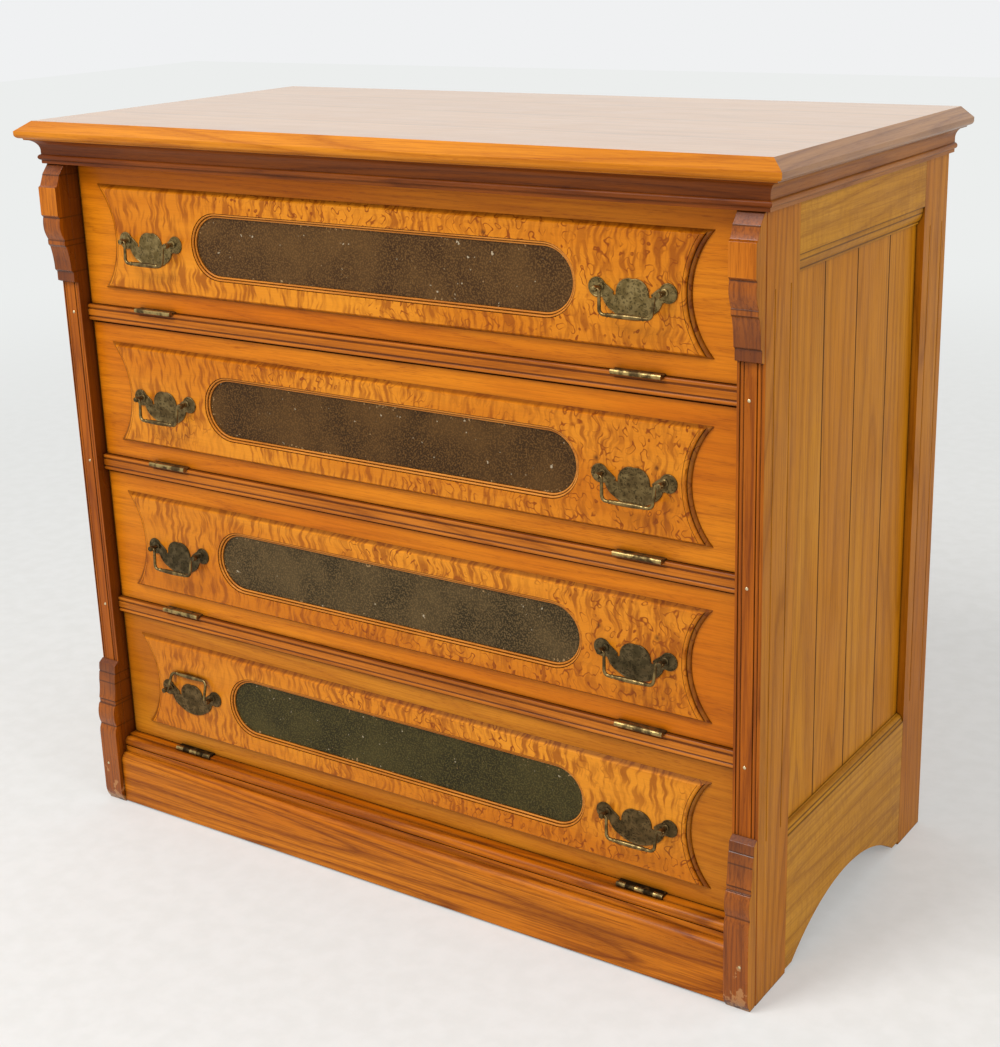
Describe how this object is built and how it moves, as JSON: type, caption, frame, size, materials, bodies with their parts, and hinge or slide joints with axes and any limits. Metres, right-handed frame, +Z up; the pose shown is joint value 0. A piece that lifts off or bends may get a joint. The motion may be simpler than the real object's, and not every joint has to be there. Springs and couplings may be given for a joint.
{
  "type": "spool cabinet",
  "caption": "Victorian oak store cabinet with drop fronts, raised panels around bare glass sign plates, bail pulls, carved corner posts, moulded base and tongued board sides.",
  "frame": {"origin": "on the floor, under the middle of the cabinet's bounding box", "axes": "+X to the right seen from the front, +Y to the back, so the fronts face -Y, and +Z up"},
  "size_m": [1.109, 0.5454, 0.987],
  "materials": {
    "oak_case": "satin",
    "oak_dark": "satin",
    "oak_rail": "satin",
    "figured_wood": "gloss",
    "inside_wood": "matt",
    "hinge_brass": "polished",
    "pull_brass": "aged",
    "sign_glass": "gloss"
  },
  "bodies": {
    "case": {"back_boards": "inside_wood", "back_stile_left": "oak_case", "back_stile_right": "oak_case", "base_board": "oak_dark", "base_moulding": "oak_rail", "bottom_board": "inside_wood", "corner_post_left": "oak_dark", "corner_post_right": "oak_dark", "cornice_front": "oak_dark", "cornice_sides": "oak_dark", "front_rail_1": "oak_rail", "front_rail_2": "oak_rail", "front_rail_3": "oak_rail", "front_stile_left": "oak_case", "front_stile_right": "oak_case", "front_stops": "inside_wood", "lower_corbel_left": "oak_dark", "lower_corbel_right": "oak_dark", "rail_hinges": "hinge_brass", "shelf_1": "inside_wood", "shelf_2": "inside_wood", "shelf_3": "inside_wood", "side_bottom_rail_left": "oak_case", "side_bottom_rail_right": "oak_case", "side_panel_boards_left": "oak_case", "side_panel_boards_right": "oak_case", "side_top_rail_left": "oak_case", "side_top_rail_right": "oak_case", "top_board": "oak_case", "top_front_rail": "inside_wood", "upper_corbel_left": "oak_dark", "upper_corbel_right": "oak_dark"},
    "front_1": {"front_board_1": "oak_rail", "front_hinges_1": "hinge_brass", "pull_plates_1": "pull_brass", "raised_panel_1": "figured_wood", "sign_plate_1": "sign_glass"},
    "front_2": {"front_board_2": "oak_rail", "front_hinges_2": "hinge_brass", "pull_plates_2": "pull_brass", "raised_panel_2": "figured_wood", "sign_plate_2": "sign_glass"},
    "front_3": {"front_board_3": "oak_rail", "front_hinges_3": "hinge_brass", "pull_plates_3": "pull_brass", "raised_panel_3": "figured_wood", "sign_plate_3": "sign_glass"},
    "front_4": {"front_board_4": "oak_rail", "front_hinges_4": "hinge_brass", "pull_plates_4": "pull_brass", "raised_panel_4": "figured_wood", "sign_plate_4": "sign_glass"},
    "bail_1_left": {"bail_1_left": "pull_brass"},
    "bail_1_right": {"bail_1_right": "pull_brass"},
    "bail_2_left": {"bail_2_left": "pull_brass"},
    "bail_2_right": {"bail_2_right": "pull_brass"},
    "bail_3_left": {"bail_3_left": "pull_brass"},
    "bail_3_right": {"bail_3_right": "pull_brass"},
    "bail_4_left": {"bail_4_left": "pull_brass"},
    "bail_4_right": {"bail_4_right": "pull_brass"}
  },
  "joints": [
    {"name": "front_1_drop", "type": "hinge", "parent": "case", "child": "front_1", "pos_m": [0, -0.23425, 0.7416], "axis": [1, 0, 0], "range_deg": [0, 165]},
    {"name": "front_2_drop", "type": "hinge", "parent": "case", "child": "front_2", "pos_m": [0, -0.23425, 0.5284], "axis": [1, 0, 0], "range_deg": [0, 165]},
    {"name": "front_3_drop", "type": "hinge", "parent": "case", "child": "front_3", "pos_m": [0, -0.23425, 0.3152], "axis": [1, 0, 0], "range_deg": [0, 165]},
    {"name": "front_4_drop", "type": "hinge", "parent": "case", "child": "front_4", "pos_m": [0, -0.23425, 0.102], "axis": [1, 0, 0], "range_deg": [0, 120]},
    {"name": "bail_1_left_swing", "type": "hinge", "parent": "front_1", "child": "bail_1_left", "pos_m": [-0.361, -0.24475, 0.8346], "axis": [-1, 0, 0], "range_deg": [-24, 192.6]},
    {"name": "bail_1_right_swing", "type": "hinge", "parent": "front_1", "child": "bail_1_right", "pos_m": [0.361, -0.24475, 0.8346], "axis": [-1, 0, 0], "range_deg": [-24, 192.6]},
    {"name": "bail_2_left_swing", "type": "hinge", "parent": "front_2", "child": "bail_2_left", "pos_m": [-0.361, -0.24475, 0.6214], "axis": [-1, 0, 0], "range_deg": [-24, 192.6]},
    {"name": "bail_2_right_swing", "type": "hinge", "parent": "front_2", "child": "bail_2_right", "pos_m": [0.361, -0.24475, 0.6214], "axis": [-1, 0, 0], "range_deg": [-24, 192.6]},
    {"name": "bail_3_left_swing", "type": "hinge", "parent": "front_3", "child": "bail_3_left", "pos_m": [-0.361, -0.24475, 0.4082], "axis": [-1, 0, 0], "range_deg": [-24, 192.6]},
    {"name": "bail_3_right_swing", "type": "hinge", "parent": "front_3", "child": "bail_3_right", "pos_m": [0.361, -0.24475, 0.4082], "axis": [-1, 0, 0], "range_deg": [-24, 192.6]},
    {"name": "bail_4_left_swing", "type": "hinge", "parent": "front_4", "child": "bail_4_left", "pos_m": [-0.361, -0.24475, 0.195], "axis": [-1, 0, 0], "range_deg": [-216.6, 0]},
    {"name": "bail_4_right_swing", "type": "hinge", "parent": "front_4", "child": "bail_4_right", "pos_m": [0.361, -0.24475, 0.195], "axis": [-1, 0, 0], "range_deg": [-24, 192.6]}
  ]
}
